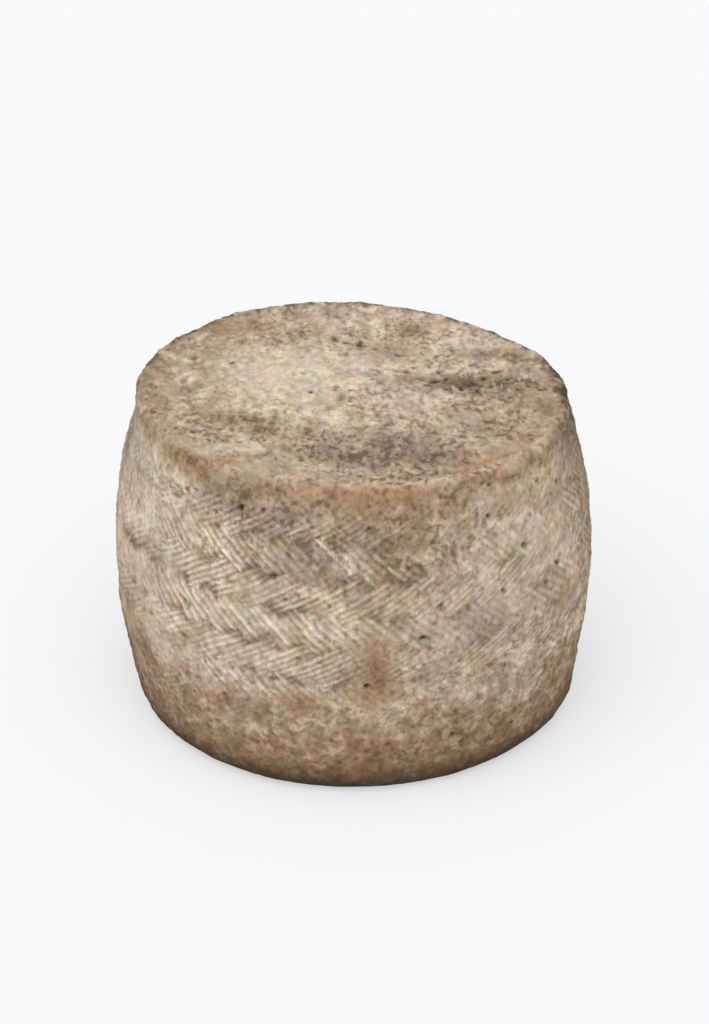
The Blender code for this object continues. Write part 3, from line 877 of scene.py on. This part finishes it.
# The ground's colours, then those of its patches, edges and pits
CREAM = colour(221, 206, 185)
STRAW = colour(197, 182, 150)
PINK = colour(206, 183, 168)
TAN = colour(162, 137, 109)
EARTH = colour(139, 112, 82)
ASH = colour(172, 163, 153)
ROSE = colour(194, 163, 149)
OCHRE = colour(165, 133, 96)
# Umber serves stains, and also painted shade under the lip, along the outline and at the foot
UMBER = colour(114, 87, 63)
FLECK = colour(127, 102, 75)
# The darkest brown paints shade along the outline, at the foot and in the deepest pits, and a
# few soil patches
SHADE_AND_SOIL = colour(48, 38, 30)
OLIVE = colour(106, 92, 68)
RUSSET = colour(106, 84, 70)
MOULD = colour(108, 97, 92)

# How high the painted shade reaches up from the foot, umber and then a near black contact
# shadow: level, softness, and how far noise pulls them down
FOOT_SHADE = (21 * MM, 13 * MM, 16 * MM)
FOOT_CONTACT_SHADOW = (10 * MM, 7 * MM, 6 * MM)

# How the noise is squeezed along X, Y and Z, and the span and base of the colour casts
SKIN_SQUEEZE = (1.05, 0.67, 1.0)
CAST_SPAN = (0.32, 0.2, 0.36)
CAST_BASE = (0.85, 0.9, 0.82)

material = bpy.data.materials.new("rind")
material.use_nodes = True
graph = material.node_tree
shader = graph.nodes["Principled BSDF"]
wires = Wire(graph)
spot = wires.node("ShaderNodeTexCoord", {}, {}, "Object")


def stored(name):
    """The three values kept at every point under that name."""
    kept = wires.node("ShaderNodeAttribute", {"attribute_name": name}, {}, "Vector")
    split = wires.node("ShaderNodeSeparateXYZ", {}, {0: kept}).socket.node.outputs
    return [Wire(graph, part) for part in split]


def stored_alone(name):
    """The single value kept at every point under that name."""
    return wires.node("ShaderNodeAttribute", {"attribute_name": name}, {}, "Fac")


turn_sine, turn_cosine, belt_up = stored("belt")
hollow_depth, print_depth, crumbly = stored("marks")
ochre, umber_and_shade, ash = stored("stains_and_shade")
rose, pale, earthy_ground = stored("tints")
outline_shade_and_soil = stored_alone("outline_shade_and_soil")
painted_lip_highlight = stored_alone("painted_lip_highlight")
luck = stored_alone("luck")

# The plait again, from the stored belt positions, so that it lies on the modelled one
strands = wires.math("ARCTAN2", turn_sine, turn_cosine) * (STRANDS_ROUND / math.tau)
above_floor = belt_up - PLAIT_FLOOR
falls = strands + above_floor * FALLING_RATE
rises = strands - above_floor * RISING_RATE
met = falls.floor() - rises.floor()
first = (met / (2 * STRANDS_OVER)).floor() * (2 * STRANDS_OVER)
over = wires.math("LESS_THAN", met - first, STRANDS_OVER - 0.5)
lane = over * falls + (1 - over) * rises
travel_falling = falls.floor() - first + 1 - rises
travel_rising = falls - rises.floor() - first - STRANDS_OVER
travel = (over * travel_falling + (1 - over) * travel_rising) / STRANDS_OVER
ridge = ((lane * STALKS % 1) * math.pi).sine() ** STALK_SHARPNESS
clear_print = print_depth ** 0.5

# Lumps of the skin lie a little longer from front to back
skin = wires.node("ShaderNodeVectorMath", {"operation": "MULTIPLY"}, {0: spot, 1: SKIN_SQUEEZE})
hue = skin.noise(4.4 * MM, 2)
broad_hue = skin.noise(14 * MM, 2)
tone = skin.noise(8 * MM, 3)
smear = skin.noise(5.0 * MM, 3, 0.6)
mottle = skin.noise(2.8 * MM, 3, 0.6)
flecked = skin.noise(2.6 * MM, 2, 0.55)
gritty = skin.noise(1.9 * MM, 1.5, 0.5)
dusty = skin.noise(1.1 * MM, 2, 0.6)
clumps = skin.noise(9 * MM, 2)


def tinted(first, second, share):
    """One colour turned towards another by a share."""
    return wires.node("ShaderNodeMix", {"data_type": "RGBA"}, {0: share, 6: first, 7: second}, 2)


def below(value, level, softness):
    """1 where the value lies under a level, fading to 0 above it."""
    return 1 - value.between(level - softness, level + softness)


# The ground first, then its tints, painted highlights on the stalks and the lip, and over them
# ochre, moulds, umber stains, and painted shade along the outline and at the foot
ground = tinted(STRAW, PINK, hue.between(0.36, 0.64))
ground = tinted(ground, CREAM, tone.between(0.42, 0.62))
ground = tinted(ground, ASH, 0.5 * broad_hue.between(0.48, 0.66))
ground = tinted(ground, ROSE, rose * mottle.between(0.4, 0.6))
ground = tinted(ground, CREAM, 0.75 * pale)
ground = tinted(ground, TAN, (0.65 - 0.45 * pale) * below(mottle, 0.47, 0.1))
ground = tinted(ground, EARTH, 0.85 * earthy_ground * below(smear, 0.55, 0.19))
# Painted highlight on the crests of the printed stalks
ground = tinted(ground, CREAM, 0.4 * clear_print * ridge * luck)
ground = tinted(ground, OCHRE, ochre * (0.1 + 1.45 * smear))
ground = tinted(ground, FLECK, (0.14 + 0.45 * earthy_ground) * below(flecked, 0.46, 0.14))
# Painted highlight along the front lip's crest
ground = tinted(ground, CREAM, 0.5 * painted_lip_highlight)
ground = tinted(ground, MOULD, ash * mottle.between(0.36, 0.56))
# Umber stains, and painted shade under the lip and along the outline
ground = tinted(ground, UMBER, umber_and_shade * mottle.between(0.38, 0.56))
# Painted shade along the outline and at the back of the lip, and a few soil patches
ground = tinted(ground, SHADE_AND_SOIL, outline_shade_and_soil * smear.between(0.4, 0.58))

up = wires.node("ShaderNodeSeparateXYZ", {}, {0: spot}, 2)
# Painted shade darkens the foot, fading up the side
level, softness, wander = FOOT_SHADE
ground = tinted(ground, UMBER, 0.85 * below(up + wander * smear, level, softness))
# Painted contact shadow at the lowest millimetres
level, softness, wander = FOOT_CONTACT_SHADOW
ground = tinted(ground, SHADE_AND_SOIL, 0.97 * below(up + wander * mottle, level, softness))

# Painted shade darkens pits, the pockets where bundles dive under and the gaps between stalks;
# dark specks lie in the peppered grit
grit = below(gritty, 0.16 * crumbly + 0.66 * clumps - 0.04, 0.12)
pit_shade = hollow_depth.between(0.1, 0.9)
groove_shade = clear_print * (1 - ridge) * (0.5 + gritty)
pocket_shade = clear_print * below((travel * math.pi).sine(), 0.34, 0.3) * below(tone, 0.5, 0.08)
dark = 1 - (1 - 0.72 * pit_shade) * (1 - 0.75 * pocket_shade) * (1 - 0.3 * groove_shade)
dark = 1 - (1 - dark) * (1 - (0.28 + 0.5 * crumbly) * grit)
speck_and_shade_colour = tinted(OLIVE, RUSSET, hue.between(0.44, 0.56))
specked_and_shaded = tinted(ground, speck_and_shade_colour, dark)
# Painted shade, near black, in the deepest pits
specked_and_shaded = tinted(specked_and_shaded, SHADE_AND_SOIL, 0.7 * hollow_depth.between(0.6, 1.1))

# Brushing wore the skin lighter and darker, least of all where it is pale and smooth; the
# stalks' crests carry a painted highlight
calm = 1 - 0.72 * pale
wear_and_highlight = 1.06 + calm * (gritty + 0.35 * dusty - 0.675)
wear_and_highlight += (1 - 0.6 * clear_print) * (0.6 * tone + 0.4 * mottle - 0.5)
# Painted highlight on the stalks' crests, with the printed band a little darker
wear_and_highlight += clear_print * (0.26 * ridge * luck - 0.06)
lit = wires.node("ShaderNodeVectorMath", {"operation": "SCALE"}, {0: specked_and_shaded, "Scale": wear_and_highlight})

# Patches a few millimetres wide turn a little rosier, greener or greyer than their neighbours
cast = skin.noise(5.4 * MM, 2, 0.5, "Color")
spans = {0: cast, 1: CAST_SPAN, 2: CAST_BASE}
cast = wires.node("ShaderNodeVectorMath", {"operation": "MULTIPLY_ADD"}, spans)
lit = wires.node("ShaderNodeVectorMath", {"operation": "MULTIPLY"}, {0: lit, 1: cast})
graph.links.new(lit.socket, shader.inputs["Base Color"])
dryness = 0.8 + 0.16 * gritty
graph.links.new(dryness.socket, shader.inputs["Roughness"])
shader.inputs["Specular IOR Level"].default_value = 0.08
relief = calm * (0.5 * gritty + 0.3 * mottle + 0.1 * dusty) + 0.16 * clear_print * ridge
rough_skin = {"Strength": 1.0, "Distance": MM, "Height": relief}
bumped = wires.node("ShaderNodeBump", {}, rough_skin)
graph.links.new(bumped.socket, shader.inputs["Normal"])

rind_mesh.materials.clear()
rind_mesh.materials.append(material)
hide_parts("goat_cheese")
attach(rind, "root")

# ---- Floor --------------------------------------------------------------------------------
# A plain pale light table, wide enough to fill every view of the wheel: it glows a little,
# so that the wheel's shadow stays faint.

FLOOR_HALF_WIDTH = 6.0
FLOOR_COLOUR = (0.42, 0.42, 0.43, 1.0)
FLOOR_ROUGHNESS = 0.9
FLOOR_SHINE = 0.1
FLOOR_GLOW_COLOUR = (0.985, 0.99, 1.0, 1.0)
FLOOR_GLOW = 0.53

floor_body = bmesh.new()
bmesh.ops.create_grid(floor_body, x_segments=1, y_segments=1, size=FLOOR_HALF_WIDTH)
floor_mesh = bpy.data.meshes.new("floor")
floor_body.to_mesh(floor_mesh)
floor_body.free()
floor_material = bpy.data.materials.new("pale_floor")
floor_material.use_nodes = True
floor_shader = floor_material.node_tree.nodes["Principled BSDF"]
floor_shader.inputs["Base Color"].default_value = FLOOR_COLOUR
floor_shader.inputs["Roughness"].default_value = FLOOR_ROUGHNESS
floor_shader.inputs["Specular IOR Level"].default_value = FLOOR_SHINE
floor_shader.inputs["Emission Color"].default_value = FLOOR_GLOW_COLOUR
floor_shader.inputs["Emission Strength"].default_value = FLOOR_GLOW
floor_mesh.materials.append(floor_material)
floor = bpy.data.objects.new("floor", floor_mesh)
bpy.context.scene.collection.objects.link(floor)

# ---- Light --------------------------------------------------------------------------------
# A bright even studio: white all round, and one very large soft lamp high overhead, a
# little to the front and to the left.

STUDIO_COLOUR = (1.0, 1.0, 1.0, 1.0)
STUDIO_BRIGHTNESS = 0.5
LAMP_POWER = 1.8
LAMP_SPREAD = math.radians(70)
LAMP_TILT = (math.radians(24), math.radians(-8), 0)

world = bpy.data.worlds.new("studio")
world.use_nodes = True
walls = world.node_tree.nodes["Background"]
walls.inputs["Color"].default_value = STUDIO_COLOUR
walls.inputs["Strength"].default_value = STUDIO_BRIGHTNESS
bpy.context.scene.world = world
lamp_data = bpy.data.lights.new("soft_lamp", "SUN")
lamp_data.energy = LAMP_POWER
lamp_data.angle = LAMP_SPREAD
lamp = bpy.data.objects.new("soft_lamp", lamp_data)
lamp.rotation_euler = LAMP_TILT
bpy.context.scene.collection.objects.link(lamp)
bpy.context.scene.view_settings.view_transform = "Standard"

# ---- Camera -------------------------------------------------------------------------------
# A long lens that looks a little down on the wheel from the front. Lens and sensor are in
# millimetres, as the camera takes them.

VIEW_DOWN = math.radians(28.46)
VIEW_DISTANCE = 0.8374
VIEW_ASIDE = 0.24 * MM
VIEW_MIDDLE = 64.3 * MM
LENS = 85
SENSOR = 36

camera_data = bpy.data.cameras.new("camera")
camera_data.lens = LENS
camera_data.sensor_width = SENSOR
camera = bpy.data.objects.new("camera", camera_data)
camera.location = (
    VIEW_ASIDE,
    -VIEW_DISTANCE * math.cos(VIEW_DOWN),
    VIEW_MIDDLE + VIEW_DISTANCE * math.sin(VIEW_DOWN),
)
camera.rotation_euler = (math.pi / 2 - VIEW_DOWN, 0, 0)
bpy.context.scene.collection.objects.link(camera)
bpy.context.scene.camera = camera
